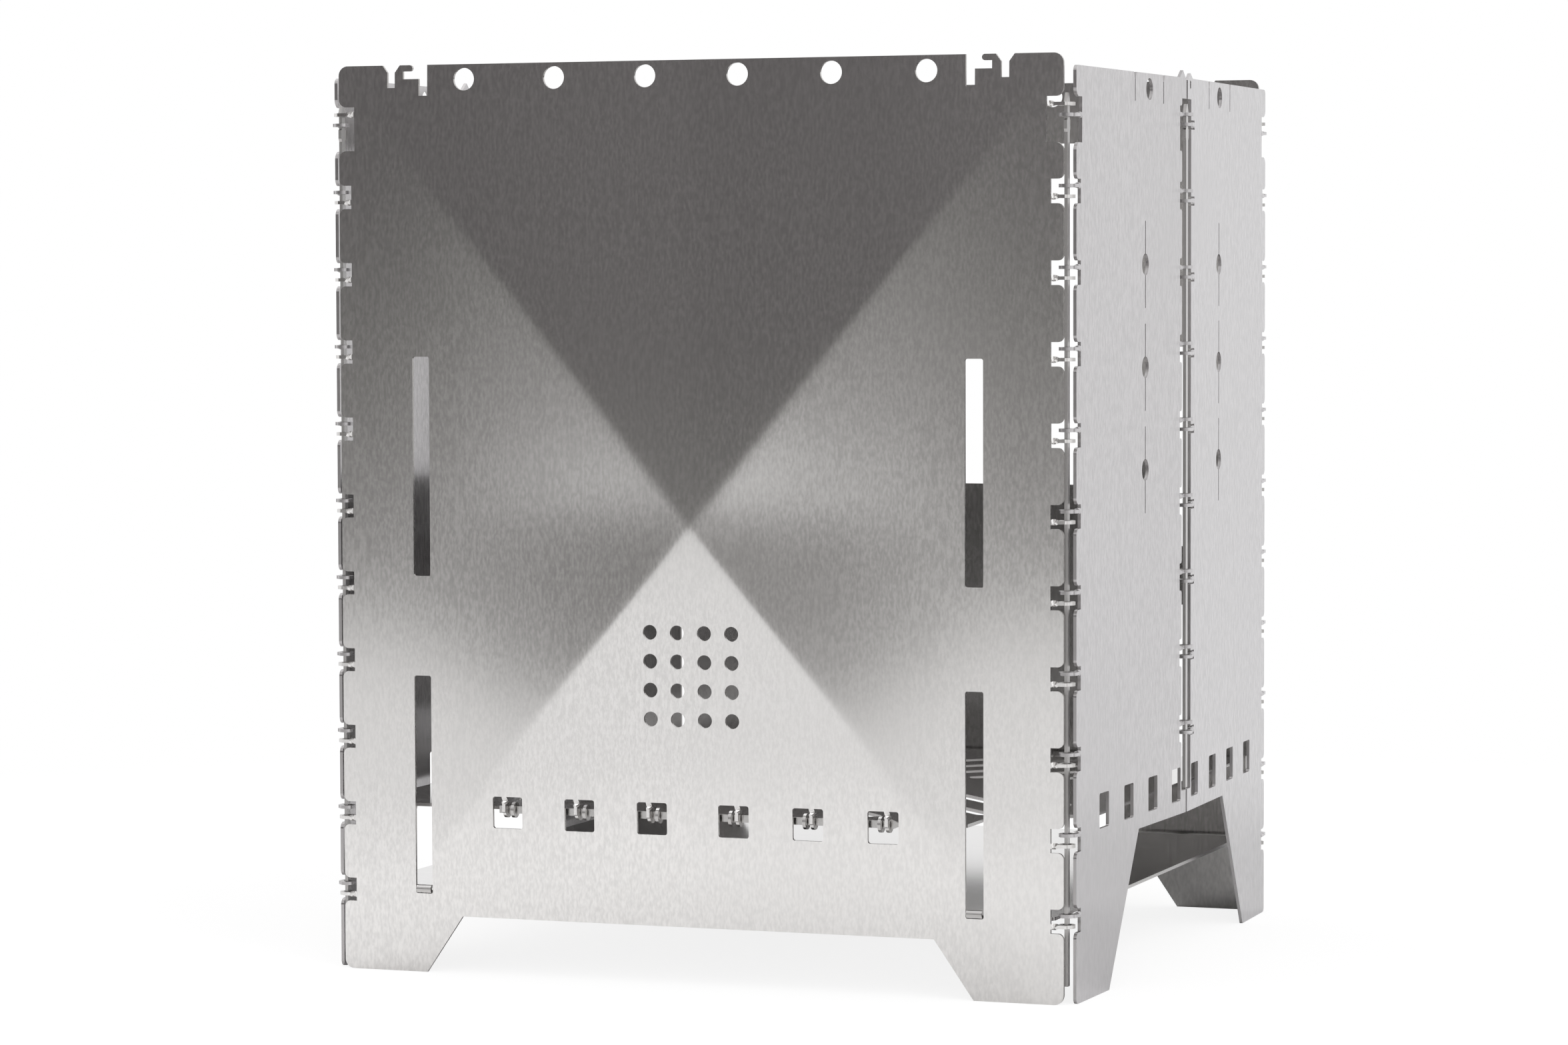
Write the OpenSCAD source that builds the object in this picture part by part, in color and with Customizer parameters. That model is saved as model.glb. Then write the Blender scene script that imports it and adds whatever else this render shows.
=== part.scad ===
// Folding sheet-metal stove, standing open.
// X runs to the right, the front faces -Y, Z is up and the feet stand at Z = 0.
// Front and back panels are joined by four side halves. Every joint is a row of
// twisted eyelets cut from the sheet, held by a flat strip pushed through them.

/* [Body] */
// Width of the front and back panels
panel_w = 186; // [182:1:196]
// Height of the front and back panels
panel_h = 222.8; // [215:0.1:232]
// Width of one side half
half_w = 82.05; // [80.05:0.5:88.05]
// How much lower the side halves are
side_drop = 2.8; // [1:0.1:4]
// Thickness of every sheet
sheet = 0.8; // [0.7:0.05:0.9]
// How far the middle of the front stands proud of its edges
belly = 2.4; // [0.4:0.2:3]
// Outward angle of each side half, in degrees
splay = 1.7; // [0.5:0.1:3]
// Rounding of the outer corners
corner_r = 2.4; // [1:0.2:3]

/* [Feet] */
// Height of the arch under the front
arch_h = 14.2; // [10:0.2:16]
// Height of the arch under the back
back_arch_h = 36; // [28:0.1:36.5]
// Width of a foot on the floor
foot_w = 22.2; // [20:0.1:28]
// Distance from the panel edge to the top end of the front's arch
arch_in = 32; // [29:0.5:40]
// Height of the cut-out under the sides
side_arch_h = 36.3; // [28:0.1:37]
// Width of a side foot on the floor
side_foot_w = 25; // [20:0.5:30]
// Distance from the side edge to the top end of its cut-out
side_arch_in = 48; // [42:0.5:54]

/* [Openings] */
// Width of the long upright slots
slot_w = 4.5; // [3.8:0.1:5]
// Distance from the panel edge to the middle of a slot
slot_in = 21.8; // [20.5:0.1:23.5]
// Length of the long upright slots
slot_l = 53.8; // [40:0.2:56]
// Bottom of the lower slots in the front
slot_z = 19.5; // [19.3:0.1:20.5]
// Bottom of the lower slots in the back
back_slot_z = 40; // [38:0.5:44]
// Length of the lower slots in the back
back_slot_l = 42; // [36:1:48]
// Bottom of the upper slots
slot_z2 = 97.8; // [92:0.2:104]
// Size of the square vents
vent = 7.8; // [7.5:0.1:8.2]
// Bottom of the square vents in the front
vent_z = 36.4; // [36:0.1:36.8]
// Width of the square vents in the sides
side_vent_w = 7.2; // [6.8:0.1:7.6]
// Height of the square vents in the sides
side_vent_h = 8.4; // [7.4:0.1:8.6]
// Distance from the centre hinge axis to the middle of the first side vent
side_vent_in = 8.5; // [8.3:0.1:10]
// Diameter of the round holes along the top of the panels
top_hole = 5.5; // [4:0.1:6]
// Metal left above those holes
top_rim = 0.9; // [0.6:0.1:2]
// Distance between those holes
top_pitch = 23.75; // [20:0.25:25]
// Diameter of the round holes in the right side and at the top of both
side_hole = 5.3; // [4:0.1:6]
// Width of the thin slits in the right side and at the top of both
slit_w = 0.5; // [0.3:0.1:1]
// Length of the thin slits in the right side
slit_l = 21.2; // [12:0.2:23]
// Distance from the top of the sides down to the middle of the highest slit
slit_down = 46.4; // [40:0.2:52]
// Distance between the slits in the right side
slit_pitch = 25; // [24:0.5:27]
// Width of the feeding opening in the back
feed_w = 100; // [60:1:120]
// Height of the feeding opening in the back
feed_h = 92.5; // [60:0.5:96]
// Distance from the top of the back down to the feeding opening
feed_down = 16.3; // [12:0.1:30]
// Rounding of the feeding opening
feed_r = 6; // [2:0.5:12]

/* [Pattern] */
// Diameter of the vent holes in the pattern on the front
dot_d = 3.6; // [2:0.1:5]
// Distance between the vent holes of the pattern
dot_pitch = 7; // [6:0.25:8]
// Height of the middle of the pattern
dot_z = 75; // [66:0.5:90]

/* [Hinges] */
// Height of the lowest hinge station
hinge_z = 19.7; // [18.9:0.1:20.5]
// Distance between hinge stations and between square vents
pitch = 19; // [18.8:0.05:19.1]
// Distance from a sheet's middle to the corner hinge axis
axis_in = 1.75; // [1.6:0.05:1.9]
// Distance from a panel's edge to the corner hinge axis
edge_gap = 0.2; // [0.1:0.05:0.5]
// Distance from a side half's edge to the corner hinge axis
side_gap = 0.45; // [0.2:0.05:0.8]
// Distance from a side half's edge to the centre hinge axis
mid_gap = 4.15; // [3.85:0.1:4.65]
// Distance from the centre hinge axis to the closed edges above and below the hinge
near_gap = 0.6; // [0.5:0.05:0.9]
// Bore of the eyelets
eye_bore = 2.1; // [2.1:0.02:2.16]
// Width of the metal around the bore
eye_wall = 0.9; // [0.75:0.05:0.95]
// Distance between the two eyelets of one station
eye_pitch = 2.5; // [2.3:0.05:2.8]
// Width of an eyelet's twisted neck
neck_w = 1.3; // [1:0.05:1.4]
// Length of the twist
twist_l = 1.8; // [1.4:0.1:2]
// Width of the flat hinge strips
strip_w = 1.75; // [1.6:0.01:1.8]
// Width of a strip's shoulders and head
strip_head = 2.5; // [2.3:0.1:2.6]
// Height of a strip's pointed head
head_l = 2.2; // [1.6:0.1:2.6]
// Bottom end of the corner strips
strip_z = 4.3; // [3:0.1:12]
// Depth of the edge notches
notch_d = 3.2; // [3:0.1:3.6]
// Height of the edge notches
notch_h = 5.7; // [5.4:0.1:6.2]
// Depth of the top notches
top_notch_d = 4.2; // [3.6:0.1:4.8]
// Height of the top notches
top_notch_h = 10.7; // [9.6:0.1:11.2]
// Rounding at the mouth of the edge notches
mouth_r = 1.5; // [1:0.1:1.8]
// Depth of the small notches at the centre hinge
mid_notch_d = 1.7; // [1:0.1:2.5]
// Height of the small notches at the centre hinge
mid_notch_h = 6.8; // [6.2:0.1:7.4]
// Depth of the neck slits at the centre hinge
neck_slit_d = 3.5; // [2.5:0.1:4.5]

/* [Plates] */
// Height of the middle of the grate's sheet
grate_z = 40.9; // [40.6:0.1:41]
// Distance from the side edges of both plates in to the panel edge
plate_in = 3; // [3:0.5:6]
// How far the right front corner of the grate is set in
nose_in = 22; // [16:0.5:24]
// How far the left front corner of the grate is set in
nose_in_l = 13.7; // [8:0.1:20]
// Depth of the grate's narrow front at the right
nose_l = 18; // [16:0.5:24]
// Depth of the grate's narrow front at the left
nose_l_l = 10; // [8:0.5:16]
// Width of the grate's air slots
air_w = 5; // [3:0.5:7]
// Longest air slots as a share of a quarter of the grate
air_share = 0.73; // [0.5:0.01:0.78]
// Distance between the grate's air slots
air_pitch = 13; // [11:0.5:15]
// Gap between the rear edge of a plate and the back
rear_gap = 3.9; // [3.7:0.1:5]
// Length of the lugs that carry the plates at the back
lug_l = 6.5; // [6:0.1:8]
// Gap between the grate and its lugs
seat_gap = 0.3; // [0.2:0.05:0.4]
// Outer radius of the ash plate's rolled tabs
roll_r = 1.05; // [0.95:0.05:1.2]
// Gap between the ash plate and the slot's lower edge
roll_gap = 0.05; // [0.04:0.01:0.1]

/* [Hidden] */
$fn = 48;

side_h = panel_h - side_drop;

// Hinge stations, counted from the bottom, as many as fit below the top
top_room = 9.5;
stations = floor((side_h - hinge_z - top_room) / pitch) + 1;
first_mid = 2;
top_k = stations - 1;
function st(k) = hinge_z + k * pitch;
// Which eyelet is the upper one changes at the top station
function lift(k, upper) = (upper == (k < top_k) ? 1 : -1) * eye_pitch / 2;
top_notch_low = 2.3;
top_notch_z = st(top_k) - top_notch_low;

// The back's arch goes on along the slope of the front's arch
back_arch_in = foot_w + (arch_in - foot_w) * back_arch_h / arch_h;

// Side half: from corner axis to centre axis, along the sheet and outward
lever = side_gap + half_w + mid_gap;
half_end = lever - mid_gap;
span = 2 * (lever * cos(splay) - axis_in * sin(splay));

// Hinge axes and the middle planes of the panels
x_axis = panel_w / 2 + edge_gap;
y_axis1 = (belly - span) / 2;
y_axis2 = (belly + span) / 2;
y_front = y_axis1 - axis_in;
y_back = y_axis2 + axis_in;
x_mid = x_axis + lever * sin(splay) + axis_in * cos(splay);
y_mid = belly / 2;

// How far the front stands proud at a height in its lower facet
function proud(z) = belly * z / (panel_h / 2);

// Eyelets
eye_r = eye_bore / 2 + eye_wall;
stub = 0.25;
root = 0.5;
z_top_ring = st(top_k) + eye_pitch / 2 + sheet / 2;
mid_above = 5.1;
mid_below = 15.7;
mid_top = st(top_k) + mid_above;
mid_low = st(first_mid) - mid_below;
mid_strip_z = mid_low + 0.5;
top_mouth_r = 2;
mid_mouth_r = 0.8;
mid_top_notch_h = top_notch_h + 0.5;

// Square vents
vent_shift = 1.05;
slot_x = panel_w / 2 - slot_in;
vent_n = floor((slot_x - slot_w / 2 - vent - vent_shift) / pitch + 0.5);
vent_z2 = grate_z - sheet / 2 - seat_gap;
function vent_x(i) = (i - 0.5) * pitch + vent_shift;
vent_r = 0.6;
slot_r = 0.5;
side_vents = 4;

// Grate hinge
z_vent_top = vent_z + vent;
y_grate = y_front - proud(z_vent_top) + axis_in;
grate_neck = 3;
eye_out = 0.9;
side_pitch = 2;
grate_half = panel_w / 2 - plate_in;
nose_rise = 0.7;
grate_cut = 3;
grate_len = y_back - sheet / 2 - rear_gap - y_grate;

// Ash plate pivot
z_roll = slot_z + roll_gap + roll_r;
y_roll = y_front - proud(z_roll);
tab_w = slot_w - 0.6;
ash_half = panel_w / 2 - plate_in;
ash_start = 1.8;
curl_open = 0.55;
curl_front = 0.1;
lug_room = 1;
ash_len = y_back - sheet / 2 - rear_gap - y_roll;
lug_w = vent - 1;
lug_x = vent_x(vent_n);

// Hooks at the top, measured from the panel edge
hook_a = 13.2;
hook_gap = 2;
hook_post = 2.2;
hook_arm = 4.7;
hook_arm_h = 1.5;
hook_ledge = 6.4;
hook_c = 2.3;
hook_deep = 7.5;
hook_mid = 5.5;
hook_low = 3.4;
hook_cant = 1.4;
hook_cant_h = 1.8;
hooks_in = hook_a + hook_gap + hook_ledge + hook_c;
top_n = floor((panel_w / 2 - hooks_in - top_hole) / top_pitch + 0.5);

// Shoulders and head of a strip
shoulder_gap = 0.5;
shoulder_l = 2.4;
tip_w = 0.7;

// Round hole and slits at the top of a side half, from the centre axis
top_hole_front = 30.6;
top_hole_rear = 34.4;
top_slit_off = 11.3;
top_slit_l = 7;
top_vee = 1.1;
top_hole_down = 3.8;
slit_in = 33.8;
slits = 3;
flap_root = 3;
ear_root = 2;
ear_l = 5.9;
ear_tip = 3.4;
ear_front = 1.8;
ear_rear = 1.3;
ear_slot = 1.2;
ear_slot_h = 2;

// Inner edges of the halves are bevelled where they nearly touch
bevel = 70;
near_drop = 0.5;
side_r = 1.4;

// Rectangle with round corners from its lower left corner
module rrect(x, z, w, h, r) {
  translate([x + r, z]) square([w - 2 * r, h]);
  translate([x, z + r]) square([w, h - 2 * r]);
  for (a = [x + r, x + w - r], b = [z + r, z + h - r]) translate([a, b]) circle(r = r);
}

// Notch in an edge at x = 0, with the sheet on the left and rounded corners at its
// mouth, less the stub of a neck
module notch(z, h, d, stub_z, r) {
  difference() {
    union() {
      translate([-d, z - h / 2]) square([d + 1, h]);
      translate([-r, z - h / 2 - r]) square([r + 1, h + 2 * r]);
    }
    for (e = [-1, 1]) translate([-r, z + e * (h / 2 + r)]) circle(r = r);
    translate([-d - 1, stub_z - neck_w / 2]) square([1 + stub, neck_w]);
  }
}

// All notches of a corner hinge, in an edge at x = 0
module corner_notches(upper) {
  for (k = [0 : top_k - 1]) notch(st(k), notch_h, notch_d, st(k) + lift(k, upper), mouth_r);
  notch(top_notch_z, top_notch_h, top_notch_d, st(top_k) + lift(top_k, upper), top_mouth_r);
}

// Eyelet with its axis at the origin along Z. The neck comes from -X and starts
// in a sheet that lies in the XZ plane, off to the -Y side
module eyelet(len, off) {
  translate([-len + stub - 0.15, -off, 0]) rotate([0, 90, 0])
    linear_extrude(height = twist_l, twist = 90, slices = 4, $fn = 4)
      square([neck_w, sheet], center = true);
  difference() {
    translate([0, 0, -sheet / 2]) linear_extrude(height = sheet) {
      circle(r = eye_r);
      translate([-len + stub + twist_l - 0.3, -off - neck_w / 2])
        square([len - stub - twist_l + 0.3, neck_w]);
      translate([0, -off]) circle(d = neck_w);
    }
    cylinder(d = eye_bore, h = 4 * sheet, center = true);
  }
}

// Corner eyelets of a sheet whose edge is at a gap from the axis, at the origin
module corner_eyes(upper, gap) {
  for (k = [0 : top_k])
    translate([0, 0, st(k) + lift(k, upper)])
      eyelet(gap + (k < top_k ? notch_d : top_notch_d), axis_in);
}

// One hook with its notches at the top, measured in from the right panel edge
module hook_cut() {
  x1 = panel_w / 2 - hook_a;
  x2 = x1 - hook_gap;
  x3 = x2 - hook_post;
  x4 = x2 - hook_arm;
  x5 = x2 - hook_ledge;
  translate([x2, panel_h - hook_mid]) square([hook_gap, hook_mid + 1]);
  translate([x1, panel_h]) polygon([[0, 0.1], [0, -hook_cant_h], [hook_cant, 0.1]]);
  translate([x2, panel_h]) polygon([[0, 0.1], [0, -hook_cant_h], [-hook_cant, 0.1]]);
  translate([x5, panel_h - hook_low]) square([x3 - x5, hook_low - hook_arm_h]);
  difference() {
    translate([x5, panel_h - hook_low]) square([x4 + hook_arm_h / 2 - x5, hook_low + 1]);
    translate([x4 + hook_arm_h / 2, panel_h - hook_arm_h / 2]) circle(d = hook_arm_h);
  }
  translate([x5 - hook_c, panel_h - hook_deep]) square([hook_c, hook_deep + 1]);
}

// Flat outline of a panel: arch, square vents outwards from the first one, lower slot
module panel_flat(arch_top, arch_end, first, vz, low_z, low_l) {
  difference() {
    rrect(-panel_w / 2, 0, panel_w, panel_h, corner_r);
    polygon([
      [-panel_w / 2 + foot_w, -1], [-panel_w / 2 + foot_w, 0],
      [-panel_w / 2 + arch_end, arch_top], [panel_w / 2 - arch_end, arch_top],
      [panel_w / 2 - foot_w, 0], [panel_w / 2 - foot_w, -1]
    ]);
    for (i = [0.5 - top_n : top_n - 0.5])
      translate([i * top_pitch, panel_h - top_rim - top_hole / 2]) circle(d = top_hole);
    for (s = [0, 1]) mirror([s, 0]) {
      hook_cut();
      rrect(slot_x - slot_w / 2, low_z, slot_w, low_l, slot_r);
      rrect(slot_x - slot_w / 2, slot_z2, slot_w, slot_l, slot_r);
      for (i = [first : vent_n])
        rrect(vent_x(i) - vent / 2, vz, vent, vent, vent_r);
      translate([panel_w / 2, 0]) corner_notches(false);
    }
  }
}

// Round vent holes in a plain pattern low on the front
module dots() {
  for (r = [-1.5 : 1.5], c = [-1.5 : 1.5])
    translate([c * dot_pitch, dot_z + r * dot_pitch]) circle(d = dot_d);
}

// Sheet creased from its corners to its middle, a very flat pyramid
module belly_sheet() {
  s = 1.1;
  a = s * panel_w / 2;
  c = s * panel_h / 2;
  yb = y_front - sheet / 2 + (s - 1) * belly;
  ya = y_front - sheet / 2 - belly;
  zc = panel_h / 2;
  polyhedron(
    points = [
      for (t = [0, sheet]) each [
        [-a, yb + t, zc - c], [a, yb + t, zc - c], [a, yb + t, zc + c], [-a, yb + t, zc + c],
        [0, ya + t, zc]
      ]
    ],
    faces = [
      [0, 4, 1], [1, 4, 2], [2, 4, 3], [3, 4, 0],
      [6, 9, 5], [7, 9, 6], [8, 9, 7], [5, 9, 8],
      [0, 1, 6, 5], [1, 2, 7, 6], [2, 3, 8, 7], [3, 0, 5, 8]
    ]
  );
}

module front_panel() {
  cut = belly + 4 * sheet;
  color("silver") {
    intersection() {
      belly_sheet();
      translate([0, y_front + cut, 0]) rotate([90, 0, 0]) linear_extrude(height = 2 * cut)
        difference() {
          union() {
            panel_flat(arch_h, arch_in, 1, vent_z, slot_z, slot_l);
            for (i = [-vent_n : vent_n]) if (i != 0)
              translate([eye_x(i) - neck_w / 2, z_vent_top - stub]) square([neck_w, stub + root]);
          }
          dots();
        }
    }
    for (s = [0, 1]) mirror([s, 0, 0]) translate([x_axis, y_axis1, 0]) corner_eyes(false, edge_gap);
    for (i = [-vent_n : vent_n]) if (i != 0)
      translate([eye_x(i), y_grate, grate_z]) rotate([0, 90, 0])
        eyelet(z_vent_top - grate_z, axis_in);
  }
}

// Where the front's hanging eyelets and the grate's eyelets are along the vents
function eye_x(i) = sign(i) * (vent_x(abs(i)) + eye_out);
function grate_x(i) = sign(i) * (vent_x(abs(i)) + eye_out - side_pitch);

module back_panel() {
  color("gray") {
    translate([0, y_back, 0]) rotate([90, 0, 0]) linear_extrude(height = sheet, center = true)
      difference() {
        panel_flat(back_arch_h, back_arch_in, vent_n, vent_z2, back_slot_z, back_slot_l);
        rrect(-feed_w / 2, panel_h - feed_down - feed_h, feed_w, feed_h, feed_r);
        for (s = [0, 1]) mirror([s, 0])
          rrect(slot_x - slot_w / 2, slot_z - sheet - lug_l, slot_w, lug_l, slot_r);
      }
    for (s = [0, 1]) mirror([s, 0, 0]) {
      translate([x_axis, y_axis2, 0]) mirror([0, 1, 0]) corner_eyes(false, edge_gap);
      translate([slot_x - tab_w / 2, y_back - sheet / 2 - lug_l, slot_z - sheet])
        cube([tab_w, lug_l + sheet / 2, sheet]);
      translate([lug_x - lug_w / 2, y_back - sheet / 2 - lug_l, vent_z2 - sheet])
        cube([lug_w, lug_l + sheet / 2, sheet]);
    }
  }
}

// Slit with an open V at the top edge
module top_slit(u) {
  translate([u - slit_w / 2, side_h - top_slit_l]) square([slit_w, top_slit_l + 1]);
  translate([u, side_h]) polygon([[-top_vee, 0.1], [0, -2 * top_vee], [top_vee, 0.1]]);
}

// Flat outline of a side half: u from the corner axis, z up
module half_flat(front, slitted) {
  hole_u = lever - (front ? top_hole_front : top_hole_rear);
  ear_h = front ? ear_front : ear_rear;
  difference() {
    union() {
      rrect(side_gap, 0, half_w, side_h, side_r);
      translate([half_end - flap_root, mid_top])
        square([mid_gap + flap_root - near_gap, side_h - mid_top - near_drop]);
      translate([half_end - flap_root, side_arch_h])
        square([mid_gap + flap_root - near_gap, mid_low - side_arch_h]);
      translate([lever, side_h]) polygon([
        [-ear_l, -ear_root], [-ear_l, 0], [-ear_tip, ear_h], [-near_gap, -near_drop],
        [-near_gap, -ear_root]
      ]);
    }
    polygon([
      [side_foot_w, -1], [side_foot_w, 0], [side_arch_in, side_arch_h],
      [lever + 1, side_arch_h], [lever + 1, -1]
    ]);
    for (i = [0 : side_vents - 1])
      translate([lever - side_vent_in - i * pitch - side_vent_w / 2, vent_z2 + vent - side_vent_h])
        rrect(0, 0, side_vent_w, side_vent_h, vent_r);
    if (slitted) for (i = [0 : slits - 1])
      translate([lever - slit_in, side_h - slit_down - i * slit_pitch]) {
        square([slit_w, slit_l], center = true);
        circle(d = side_hole);
      }
    translate([hole_u, side_h - top_hole_down]) circle(d = side_hole);
    for (s = [-1, 1]) top_slit(hole_u + s * top_slit_off);
    translate([side_gap, 0]) mirror([1, 0]) corner_notches(true);
    for (k = [first_mid : top_k]) mid_notch(k, front);
    if (!front) translate([lever - ear_tip - ear_slot / 2, side_h - 1.3 * ear_slot_h])
      rrect(0, 0, ear_slot, ear_slot_h, ear_slot / 4);
  }
}

// Room for the eyelets at the centre hinge
module mid_notch(k, front) {
  zc = st(k) + (front ? 1 : -1) * eye_pitch / 2;
  if (front && k < top_k)
    translate([half_end, 0]) notch(st(k), mid_notch_h, mid_notch_d, zc, mid_mouth_r);
  else if (front)
    translate([half_end, 0]) notch(top_notch_z, mid_top_notch_h, mid_notch_d, zc, mid_mouth_r);
  else for (s = [-1, 1])
    translate([half_end - neck_slit_d, zc + s * (neck_w + slit_w) / 2])
      translate([0, -slit_w / 2]) square([neck_slit_d + 1, slit_w]);
}

// Side half with its corner axis at the origin, its length along +X and its
// outer face towards -Y
module side_half(front, slitted) {
  y_out = -axis_in - sheet / 2;
  difference() {
    translate([0, y_out, 0]) rotate([90, 0, 0]) mirror([0, 0, 1])
      linear_extrude(height = sheet) half_flat(front, slitted);
    for (z = [[side_arch_h - 1, mid_low + 1], [mid_top - near_drop, side_h + ear_front + 1]])
      translate([lever - near_gap, -axis_in, z[0]]) linear_extrude(height = z[1] - z[0])
        polygon([[0, 0], [2, 0], [2, 2 * sheet], [-2 * sheet * tan(bevel), 2 * sheet]]);
  }
  mirror([1, 0, 0]) corner_eyes(true, side_gap);
  for (k = [first_mid : top_k])
    translate([lever, -axis_in, st(k) + (front ? 1 : -1) * eye_pitch / 2])
      eyelet(mid_gap + (front ? mid_notch_d : neck_slit_d), 0);
}

// Side half in its place on the right. Only the real right halves have slits
module right_place(front, slitted) {
  if (front) translate([x_axis, y_axis1, 0]) rotate([0, 0, 90 - splay]) side_half(true, slitted);
  else translate([x_axis, y_axis2, 0]) mirror([0, 1, 0]) rotate([0, 0, 90 - splay])
    side_half(false, slitted);
}

module right_front_side() { color("gainsboro") right_place(true, true); }
module right_rear_side() { color("lightgray") right_place(false, true); }
module left_front_side() { color("gainsboro") mirror([1, 0, 0]) right_place(true, false); }
module left_rear_side() { color("lightgray") mirror([1, 0, 0]) right_place(false, false); }

// Flat strip with shoulders below the top eyelets and a pointed head above them
module strip_flat(z0) {
  w = strip_w / 2;
  h = strip_head / 2;
  z2 = st(top_k) - (eye_pitch + sheet) / 2 - shoulder_gap;
  z1 = z2 - shoulder_l;
  right = [
    [w, z0], [w, z1 - 2 * (h - w)], [h, z1], [h, z2 - h + w], [w, z2], [w, z_top_ring],
    [h, z_top_ring], [tip_w, z_top_ring + head_l * 0.6], [tip_w / 2, z_top_ring + head_l]
  ];
  polygon([each right, for (i = [len(right) - 1 : -1 : 0]) [-right[i].x, right[i].y]]);
}

module upright_strip(x, y, z0) {
  color("whitesmoke") translate([x, y, 0]) rotate([90, 0, 90])
    linear_extrude(height = sheet, center = true) strip_flat(z0);
}

module front_right_strip() { upright_strip(x_axis, y_axis1, strip_z); }
module front_left_strip() { upright_strip(-x_axis, y_axis1, strip_z); }
module back_right_strip() { upright_strip(x_axis, y_axis2, strip_z); }
module back_left_strip() { upright_strip(-x_axis, y_axis2, strip_z); }
module right_centre_strip() { upright_strip(x_mid, y_mid, mid_strip_z); }
module left_centre_strip() { upright_strip(-x_mid, y_mid, mid_strip_z); }

// Strip of the grate hinge, with its head against the last hanging eyelet
module grate_strip() {
  x1 = eye_x(vent_n) + sheet / 2;
  x0 = eye_x(-vent_n) - side_pitch;
  w = strip_w / 2;
  h = strip_head / 2;
  color("whitesmoke") translate([0, y_grate, grate_z]) rotate([90, 0, 0])
    linear_extrude(height = sheet, center = true) polygon([
      [x0, -w], [x1, -w], [x1, -h], [x1 + head_l * 0.6, -tip_w], [x1 + head_l, -tip_w / 2],
      [x1 + head_l, tip_w / 2], [x1 + head_l * 0.6, tip_w], [x1, h], [x1, w], [x0, w]
    ]);
}

// Long slot with round ends, along the diagonal of its quarter
module air_slot(l) {
  square([l - air_w, air_w], center = true);
  for (s = [-1, 1]) translate([s * (l - air_w) / 2, 0]) circle(d = air_w);
}

module fire_grate() {
  mid = (grate_neck + grate_len) / 2;
  qx = grate_half / 2;
  qy = (grate_len - grate_neck) / 4;
  air_l = air_share * 2 * min(qx, qy);
  color("darkgray") translate([0, y_grate, grate_z]) {
    linear_extrude(height = sheet, center = true) difference() {
      union() {
        polygon([
          [nose_in_l - grate_half, grate_neck], [grate_half - nose_in, grate_neck],
          [grate_half - nose_in, nose_l], [grate_half, nose_l + nose_rise * nose_in],
          [grate_half, grate_len - grate_cut], [grate_half - grate_cut, grate_len],
          [grate_cut - grate_half, grate_len], [-grate_half, grate_len - grate_cut],
          [-grate_half, nose_l_l + nose_rise * nose_in_l], [nose_in_l - grate_half, nose_l_l]
        ]);
        for (i = [-vent_n : vent_n]) if (i != 0)
          translate([grate_x(i) - neck_w / 2, grate_neck - stub])
            square([neck_w, stub + root]);
      }
      for (a = [-1, 1], b = [-1, 1], i = [-2 : 2])
        translate([a * qx, mid + b * qy]) rotate(a * b * 45)
          translate([0, i * air_pitch]) air_slot(air_l - 0.7 * air_pitch * abs(i));
    }
    for (i = [-vent_n : vent_n]) if (i != 0)
      translate([grate_x(i), 0, 0]) rotate([-90, 0, 0]) rotate([0, 90, 0])
        eyelet(grate_neck, 0);
  }
}

module ash_plate() {
  r_in = roll_r - sheet;
  color("dimgray") translate([0, y_roll, z_roll]) {
    translate([0, 0, -roll_r]) linear_extrude(height = sheet) difference() {
      rrect(-ash_half, ash_start, 2 * ash_half, ash_len - ash_start, 2);
      for (s = [-1, 1])
        translate([s * lug_x - lug_w / 2 - lug_room, ash_len - lug_l + lug_room])
          square([lug_w + 2 * lug_room, lug_l]);
    }
    for (s = [-1, 1]) translate([s * slot_x, 0, 0]) {
      translate([-tab_w / 2, 0, -roll_r]) cube([tab_w, ash_start + root, sheet]);
      difference() {
        rotate([0, 90, 0]) cylinder(r = roll_r, h = tab_w, center = true);
        rotate([0, 90, 0]) cylinder(r = r_in, h = tab_w + 1, center = true);
        translate([-tab_w, curl_front, -r_in]) cube([2 * tab_w, roll_r, r_in + curl_open]);
      }
    }
  }
}

front_panel();
back_panel();
right_front_side();
right_rear_side();
left_front_side();
left_rear_side();
front_right_strip();
front_left_strip();
back_right_strip();
back_left_strip();
right_centre_strip();
left_centre_strip();
fire_grate();
grate_strip();
ash_plate();
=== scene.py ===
import bpy
import math
from mathutils import Matrix, Vector


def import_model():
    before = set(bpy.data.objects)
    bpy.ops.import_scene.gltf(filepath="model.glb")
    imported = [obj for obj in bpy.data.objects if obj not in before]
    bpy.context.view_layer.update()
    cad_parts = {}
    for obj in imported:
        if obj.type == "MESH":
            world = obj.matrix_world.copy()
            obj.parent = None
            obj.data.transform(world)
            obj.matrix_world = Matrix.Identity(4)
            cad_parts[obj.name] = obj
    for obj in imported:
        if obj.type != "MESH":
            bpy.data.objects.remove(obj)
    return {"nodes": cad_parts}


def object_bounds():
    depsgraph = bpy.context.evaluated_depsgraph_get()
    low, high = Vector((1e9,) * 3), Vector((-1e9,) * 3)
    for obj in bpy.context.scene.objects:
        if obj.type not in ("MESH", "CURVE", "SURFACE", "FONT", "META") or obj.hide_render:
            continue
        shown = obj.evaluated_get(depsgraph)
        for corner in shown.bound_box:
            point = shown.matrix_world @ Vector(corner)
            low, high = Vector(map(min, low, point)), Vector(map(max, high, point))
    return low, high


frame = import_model()
cad_box = [list(corner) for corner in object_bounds()]
scene = bpy.context.scene

# Lengths are in metres and angles in radians. The camera stands at the photo's view,
# without shift, and its focal length is in pixels of an image IMAGE_W wide
FOCAL_PX = 7136.8
IMAGE_W = 2352
SENSOR_MM = 36
YAW = 0.35697
PITCH = -0.05301
ROLL = -0.00321
EYE = Vector((0.41909, -1.14847, 0.1725))

# The world is a little dimmer as a light than where it is seen or mirrored
SKY_LIGHT = 0.9
SKY_SEEN = 1.0

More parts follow.
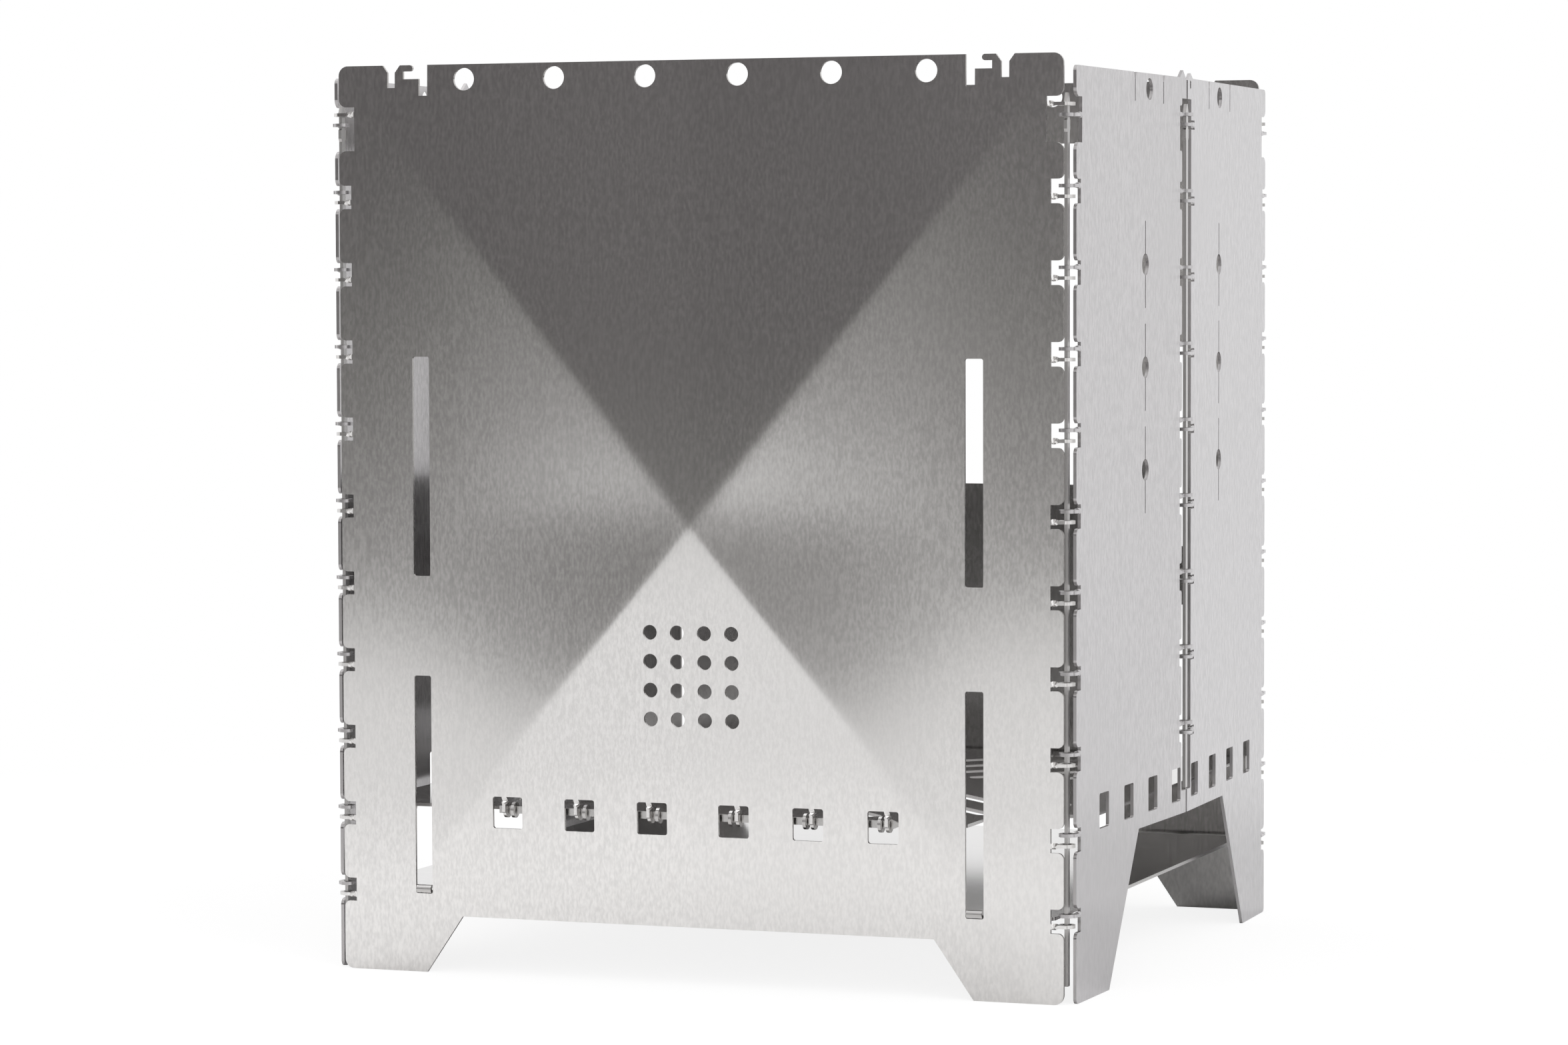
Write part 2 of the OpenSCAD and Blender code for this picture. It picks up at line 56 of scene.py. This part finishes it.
# White paper under the stove. It takes the stove's shadow, and goes over into the white
# of the studio between FADE_NEAR and FADE_FAR from the middle. FLOOR_WHITE is how much of
# the camera's view of it is plain white, which keeps the shadow faint
FLOOR_FRONT = 0.6
FLOOR_FAR = 1.6
FLOOR_WHITE = 0.85
FADE_NEAR = 0.2
FADE_FAR = 0.5
PAPER_SEEN = 1.16
PAPER_LIT = 0.8
PAPER_ROUGH = 0.5

# What the metal mirrors of the paper gets dimmer from the front of the stove to its back:
# a painted shade standing in for the stove's shadow on the paper
MIRROR_Y = (-0.15, 0.25)
MIRROR_PAINTED_SHADE = (1.12, 0.83)

# A dim grey card far in front of the stove, which only its metal mirrors. It gets
# lighter downwards, and ends below the height of the floor. Over CARD_TURN, to the
# right, its strength goes from CARD_SIDE below one to CARD_SIDE above it
CARD_Y = 8.0
CARD_LEFT = -14.0
CARD_RIGHT = 2.0
CARD_LOW = -0.58
CARD_TOP = 3.0
CARD_TONES = [
    (CARD_LOW, (0.38, 0.372, 0.367)),
    (-0.35, (0.333, 0.328, 0.322)),
    (0.0, (0.231, 0.227, 0.221)),
    (0.3, (0.174, 0.167, 0.167)),
    (CARD_TOP, (0.166, 0.157, 0.162)),
]
CARD_TURN = (-4.0, -2.0)
CARD_SIDE = 0.09

# Soft lamps: name, place, width and height, watts. All aim at LAMP_AIM
LAMP_AIM = (0, 0, 0.1)
LAMPS = [
    ("key", (1.6, -0.9, 1.9), (1.4, 1.4), 9),
    ("fill", (-1.5, 0.4, 1.8), (1.6, 1.6), 7),
]

# The front sheet: half its width and height, and how far its middle stands proud
HALF_W = 0.093
HALF_H = cad_box[1][2] / 2
BELLY = 0.0024

# The form that the front's material adds to its sharp creases. SOFT is how far the
# rounding reaches, as a share of half the sheet. A BASE, SWING, MIDDLE or LEAN is a slope,
# and a REACH the height above and below the middle over which a slope turns. A FADE is
# where a form dies out, as a share of the half width. MIDDLE_X is where the middle's slope
# goes over from left to right, and LEAN_X where the right side's own slope sets in
SOFT = 0.015
BOW_BASE = 0.0048
BOW_SWING = 0.0088
BOW_REACH = 0.025
BOW_FADE = (0.5, 1.05)
DENT_SWING = 0.0125
DENT_REACH = 0.008
DENT_FADE = (0.0, 0.9)
LEFT_MIDDLE = -0.0025
RIGHT_MIDDLE = 0.003
MIDDLE_X = (-0.01, 0.012)
MIDDLE_FADE = (0.0, 0.45)
RIGHT_LEAN = 0.005
LEAN_X = (0.0, 0.08)

# Brushing of the steel. A steel's grain is its number of noise cells per metre across the
# grain. LINE_ALONG and BAND_ACROSS are shares of it, BAND_ALONG is a number per metre, and
# LINE_SHARE is the fine lines' part in the streaks. A RANGE holds the noise values from
# which and to which a tone or roughness changes
LINE_ALONG = 0.4
LINE_SHARE = 0.75
BAND_ACROSS = 0.75
BAND_ALONG = 150.0
STREAK_RANGE = (0.32, 0.68)
ROUGH_RANGE = (0.3, 0.7)
ROUGH_SWING = 0.1
RELIEF_DEPTH = 0.00003
ANISOTROPY = 0.9

# Faint darker clouds on the sheet, CLOUD_SCALE noise cells per metre
CLOUD_SCALE = 14.0
CLOUD_RANGE = (0.42, 0.72)
CLOUD_SHARE = 0.5
CLOUD_DARK = 0.97

# Cut edges and twisted necks are duller than the flat faces. They get a darker tint that is
# partly the cut steel's own colour and partly painted shade of the narrow slits between parts.
# EDGE_FACING is how squarely a face has to look along the flat axis to count as flat
EDGE_FACING = (0.35, 0.8)
EDGE_CUT_AND_SHADE_TINT = (0.7, 0.69, 0.68)
EDGE_CUT_AND_SHADE_SHARE = 0.7
EDGE_ROUGH = 0.12


class Graph:
    """Short ways to make and join the nodes of one tree."""

    def __init__(self, tree):
        self.tree = tree
        tree.nodes.clear()

    def node(self, kind, inputs=None, **props):
        made = self.tree.nodes.new(kind)
        for key, value in props.items():
            setattr(made, key, value)
        for key, value in (inputs or {}).items():
            self.feed(made, key, value)
        return made

    def feed(self, made, key, value):
        if isinstance(value, bpy.types.NodeSocket):
            self.tree.links.new(value, made.inputs[key])
        else:
            made.inputs[key].default_value = value

    def math(self, op, a, b=0.0, c=0.0, clamp=False):
        made = self.node("ShaderNodeMath", {0: a, 1: b, 2: c}, operation=op, use_clamp=clamp)
        return made.outputs[0]

    def add(self, a, b):
        return self.math("ADD", a, b)

    def times(self, a, b):
        return self.math("MULTIPLY", a, b)

    def minus(self, a, b):
        return self.math("SUBTRACT", a, b)

    def ramp(self, value, low, high, a=0.0, b=1.0):
        made = self.node("ShaderNodeMapRange", {0: value, 1: low, 2: high, 3: a, 4: b},
                         interpolation_type="SMOOTHSTEP")
        return made.outputs[0]

    def mix(self, fac, a, b):
        made = self.node("ShaderNodeMix", data_type="RGBA")
        self.feed(made, 0, fac)
        self.feed(made, 6, a)
        self.feed(made, 7, b)
        return made.outputs[2]

    def noise(self, spot, scale, detail, roughness):
        made = self.node("ShaderNodeTexNoise", {
            "Vector": spot, "Scale": scale, "Detail": detail, "Roughness": roughness})
        return made.outputs[0]

    def stretched(self, spot, scale):
        return self.node("ShaderNodeMapping", {"Vector": spot, "Scale": scale}).outputs[0]

    def spot(self):
        return self.node("ShaderNodeTexCoord").outputs["Object"]

    def ray(self, kind):
        return self.node("ShaderNodeLightPath").outputs[kind]

    def seen(self):
        """One where the camera sees the surface itself, mirrored or through glass."""
        both = self.add(self.ray("Is Camera Ray"), self.ray("Is Glossy Ray"))
        return self.math("ADD", both, self.ray("Is Transmission Ray"), clamp=True)

    def log_cosh(self, value, reach):
        """A valley whose slope turns from -1 to 1 over about the reach, divided by the reach."""
        return self.math("LOGARITHM", self.math("COSH", self.math("DIVIDE", value, reach)), math.e)

    def finish(self, shader, kind="ShaderNodeOutputMaterial"):
        self.feed(self.node(kind), "Surface", shader.outputs[0])

    def finish_mixed(self, share, first, second):
        both = self.node("ShaderNodeMixShader")
        self.feed(both, 0, share)
        self.feed(both, 1, first.outputs[0])
        self.feed(both, 2, second.outputs[0])
        self.finish(both)


def grey(level):
    return (level, level, level, 1)


def shaded(tint, factor):
    """The tint times a factor, or times three factors, as a colour with alpha."""
    factors = factor if isinstance(factor, tuple) else (factor,) * 3
    return tuple(min(1.0, c * f) for c, f in zip(tint, factors)) + (1,)


def new_material(name):
    made = bpy.data.materials.new(name)
    made.use_nodes = True
    return made, Graph(made.node_tree)


def camera():
    right = Vector((math.cos(YAW), math.sin(YAW), 0))
    ahead = Vector((-math.sin(YAW), math.cos(YAW), 0))
    up = Vector((0, 0, 1))
    look = ahead * math.cos(PITCH) + up * math.sin(PITCH)
    top = -ahead * math.sin(PITCH) + up * math.cos(PITCH)
    side = right * math.cos(ROLL) + top * math.sin(ROLL)
    over = -right * math.sin(ROLL) + top * math.cos(ROLL)
    data = bpy.data.cameras.new("view")
    data.sensor_width = SENSOR_MM
    data.lens = FOCAL_PX / IMAGE_W * SENSOR_MM
    data.clip_start = 0.05
    data.clip_end = 60
    obj = bpy.data.objects.new("view", data)
    turn = Matrix((side, over, -look)).transposed()
    obj.matrix_world = Matrix.Translation(EYE) @ turn.to_4x4()
    scene.collection.objects.link(obj)
    scene.camera = obj


def world():
    made = bpy.data.worlds.new("studio")
    made.use_nodes = True
    g = Graph(made.node_tree)
    level = g.ramp(g.seen(), 0, 1, SKY_LIGHT, SKY_SEEN)
    back = g.node("ShaderNodeBackground", {"Color": grey(1), "Strength": level})
    g.finish(back, "ShaderNodeOutputWorld")
    scene.world = made


def plane(name, corners, material):
    mesh = bpy.data.meshes.new(name)
    mesh.from_pydata(corners, [], [(0, 1, 2, 3)])
    mesh.materials.append(material)
    obj = bpy.data.objects.new(name, mesh)
    scene.collection.objects.link(obj)


def floor():
    made, g = new_material("floor_pale")
    spot = g.spot()
    by_camera = g.ray("Is Camera Ray")
    depth = g.node("ShaderNodeSeparateXYZ", {0: spot}).outputs[1]
    # Painted shade: the paper's mirrored tone gets darker towards the back of the stove
    level = g.ramp(depth, *MIRROR_Y, *MIRROR_PAINTED_SHADE)
    extra = g.times(g.minus(level, PAPER_LIT), g.ray("Is Glossy Ray"))
    level = g.add(PAPER_LIT, extra)
    mirrored = g.node("ShaderNodeCombineXYZ", {0: level, 1: level, 2: level}).outputs[0]
    tone = g.mix(by_camera, mirrored, grey(PAPER_SEEN))
    paper = g.node("ShaderNodeBsdfDiffuse", {"Color": tone, "Roughness": PAPER_ROUGH})
    white = g.node("ShaderNodeEmission", {"Color": grey(1), "Strength": 1.0})
    far = g.node("ShaderNodeVectorMath", {0: spot}, operation="LENGTH").outputs["Value"]
    away = g.times(g.ramp(far, FADE_NEAR, FADE_FAR), g.seen())
    share = g.math("MAXIMUM", away, g.times(by_camera, FLOOR_WHITE))
    g.finish_mixed(share, paper, white)
    plane("floor", [(-FLOOR_FAR, -FLOOR_FRONT, 0), (FLOOR_FAR, -FLOOR_FRONT, 0),
                    (FLOOR_FAR, FLOOR_FAR, 0), (-FLOOR_FAR, FLOOR_FAR, 0)], made)


def card():
    made, g = new_material("card_grey")
    xyz = g.node("ShaderNodeSeparateXYZ", {0: g.spot()})
    tone = CARD_TONES[0][1] + (1,)
    for (low, _), (high, colour) in zip(CARD_TONES, CARD_TONES[1:]):
        step = g.node("ShaderNodeMapRange", {0: xyz.outputs[2], 1: low, 2: high})
        tone = g.mix(step.outputs[0], tone, colour + (1,))
    sideways = g.ramp(xyz.outputs[0], *CARD_TURN, 1.0 - CARD_SIDE, 1.0 + CARD_SIDE)
    glow = g.node("ShaderNodeEmission", {"Color": tone, "Strength": sideways})
    clear = g.node("ShaderNodeBsdfTransparent")
    g.finish_mixed(g.ray("Is Glossy Ray"), clear, glow)
    plane("card", [(CARD_LEFT, -CARD_Y, CARD_LOW), (CARD_RIGHT, -CARD_Y, CARD_LOW),
                   (CARD_RIGHT, -CARD_Y, CARD_TOP), (CARD_LEFT, -CARD_Y, CARD_TOP)], made)


def lamp(name, place, size, power):
    data = bpy.data.lights.new(name, "AREA")
    data.shape = "RECTANGLE"
    data.size = size[0]
    data.size_y = size[1]
    data.energy = power
    obj = bpy.data.objects.new(name, data)
    turn = (Vector(LAMP_AIM) - Vector(place)).to_track_quat("-Z", "Y")
    obj.matrix_world = Matrix.Translation(place) @ turn.to_matrix().to_4x4()
    scene.collection.objects.link(obj)


def pressed_form(g, spot, normal):
    """Height in metres to add to the front's sharp creases.

    It rounds the creases, bows the two side facets a little, and bends each of them
    along its level middle line. The sheet's back face gets the same form from behind.
    """
    xyz = g.node("ShaderNodeSeparateXYZ", {0: spot})
    x = xyz.outputs[0]
    across = g.math("DIVIDE", g.math("ABSOLUTE", x), HALF_W)
    rise = g.math("DIVIDE", g.minus(xyz.outputs[2], HALF_H), HALF_H)
    more = g.add(rise, across)
    less = g.minus(rise, across)
    soft_more = g.math("SQRT", g.math("MULTIPLY_ADD", more, more, SOFT * SOFT))
    soft_less = g.math("SQRT", g.math("MULTIPLY_ADD", less, less, SOFT * SOFT))
    sharp = g.add(g.math("ABSOLUTE", more), g.math("ABSOLUTE", less))
    round_off = g.times(g.minus(sharp, g.add(soft_more, soft_less)), BELLY / 2)

    level = g.times(g.minus(soft_more, soft_less), HALF_H / 2)
    curve = g.times(g.log_cosh(level, BOW_REACH), BOW_SWING * BOW_REACH)
    bow = g.times(g.add(g.times(level, BOW_BASE), curve), g.ramp(across, *BOW_FADE, 1.0, 0.0))
    bend = g.times(g.log_cosh(level, DENT_REACH), DENT_SWING * DENT_REACH)
    dent = g.times(bend, g.ramp(across, *DENT_FADE, 1.0, 0.0))
    middle = g.times(g.ramp(x, *MIDDLE_X, LEFT_MIDDLE, RIGHT_MIDDLE),
                     g.ramp(across, *MIDDLE_FADE, 1.0, 0.0))
    lean = g.add(middle, g.ramp(x, *LEAN_X, 0.0, RIGHT_LEAN))
    form = g.add(g.add(bow, dent), g.times(level, lean))

    out_way = g.times(g.node("ShaderNodeSeparateXYZ", {0: normal}).outputs[1], -1.0)
    return g.times(g.add(round_off, form), out_way)


def steel(name, tint, flat_axis, grain_axis, rough,
          pressed=False, grain=1300.0, contrast=0.1, relief=0.005):
    """Brushed sheet steel. Its flat faces point along flat_axis, its grain along grain_axis."""
    made, g = new_material(name)
    spot = g.spot()
    fine = [grain] * 3
    fine[grain_axis] = grain * LINE_ALONG
    broad = [grain * BAND_ACROSS] * 3
    broad[grain_axis] = BAND_ALONG
    hair = g.noise(g.stretched(spot, fine), 1.0, 2.0, 0.6)
    band = g.noise(g.stretched(spot, broad), 1.0, 3.0, 0.6)
    cloud = g.noise(spot, CLOUD_SCALE, 3.0, 0.5)
    streak = g.add(g.times(hair, LINE_SHARE), g.times(band, 1.0 - LINE_SHARE))

    normal = g.node("ShaderNodeNewGeometry").outputs["Normal"]
    parts = g.node("ShaderNodeSeparateXYZ", {0: normal})
    edge = g.ramp(g.math("ABSOLUTE", parts.outputs[flat_axis]), *EDGE_FACING, 1.0, 0.0)

    dark, light = shaded(tint, 1 - contrast), shaded(tint, 1 + contrast)
    tone = g.mix(g.ramp(streak, *STREAK_RANGE), dark, light)
    tone = g.mix(g.ramp(cloud, *CLOUD_RANGE, 0.0, CLOUD_SHARE), tone, shaded(tint, CLOUD_DARK))
    # Painted shade, partly the cut steel's own colour: cut edges and necks get a darker tint
    tone = g.mix(g.times(edge, EDGE_CUT_AND_SHADE_SHARE), tone, shaded(tint, EDGE_CUT_AND_SHADE_TINT))
    swing = g.ramp(streak, *ROUGH_RANGE, rough * (1 - ROUGH_SWING), rough * (1 + ROUGH_SWING))
    coarse = g.add(swing, g.times(edge, EDGE_ROUGH))

    bump = g.node("ShaderNodeBump", {
        "Strength": relief, "Distance": RELIEF_DEPTH, "Height": streak})
    if pressed:
        form = g.node("ShaderNodeBump", {
            "Strength": 1.0, "Distance": 1.0, "Height": pressed_form(g, spot, normal)})
        g.feed(bump, "Normal", form.outputs[0])
    turn = g.node("ShaderNodeTangent", direction_type="RADIAL", axis="XYZ"[grain_axis])
    shader = g.node("ShaderNodeBsdfPrincipled", {
        "Base Color": tone, "Roughness": coarse, "Metallic": 1.0, "Anisotropic": ANISOTROPY,
        "Normal": bump.outputs[0], "Tangent": turn.outputs[0]})
    g.finish(shader)
    return made


def dress(names, material):
    """Put one material into every slot of the named pieces."""
    for name in names:
        obj = frame["nodes"][name]
        if not obj.material_slots:
            obj.data.materials.append(material)
        for slot in obj.material_slots:
            slot.material = material


camera()
world()
floor()
card()
for row in LAMPS:
    lamp(*row)

# Axes that the flat faces point along and that the grain runs along
X, Y, Z = 0, 1, 2
dress(["front_panel"],
      steel("front_brushed", (0.7, 0.687, 0.677), Y, Z, 0.15, pressed=True, grain=1500.0, contrast=0.085))
dress(["back_panel"],
      steel("back_brushed", (0.6, 0.59, 0.58), Y, Z, 0.22))
dress(["right_front_side", "left_front_side"],
      steel("side_front_brushed", (0.558, 0.545, 0.552), X, Z, 0.2, grain=1000.0, contrast=0.11))
dress(["right_rear_side", "left_rear_side"],
      steel("side_rear_brushed", (0.6, 0.588, 0.597), X, Z, 0.2, grain=1000.0, contrast=0.11))
dress(["front_right_strip", "front_left_strip", "back_right_strip", "back_left_strip",
       "right_centre_strip", "left_centre_strip"],
      steel("strip_dull", (0.6, 0.59, 0.585), X, Z, 0.32, contrast=0.05, relief=0.002))
dress(["grate_strip"],
      steel("grate_strip_dull", (0.6, 0.59, 0.58), Y, X, 0.25, contrast=0.05, relief=0.002))
dress(["fire_grate", "ash_plate"],
      steel("plate_brushed", (0.66, 0.65, 0.645), Z, X, 0.1, contrast=0.06, relief=0.002))

scene.view_settings.view_transform = "Standard"
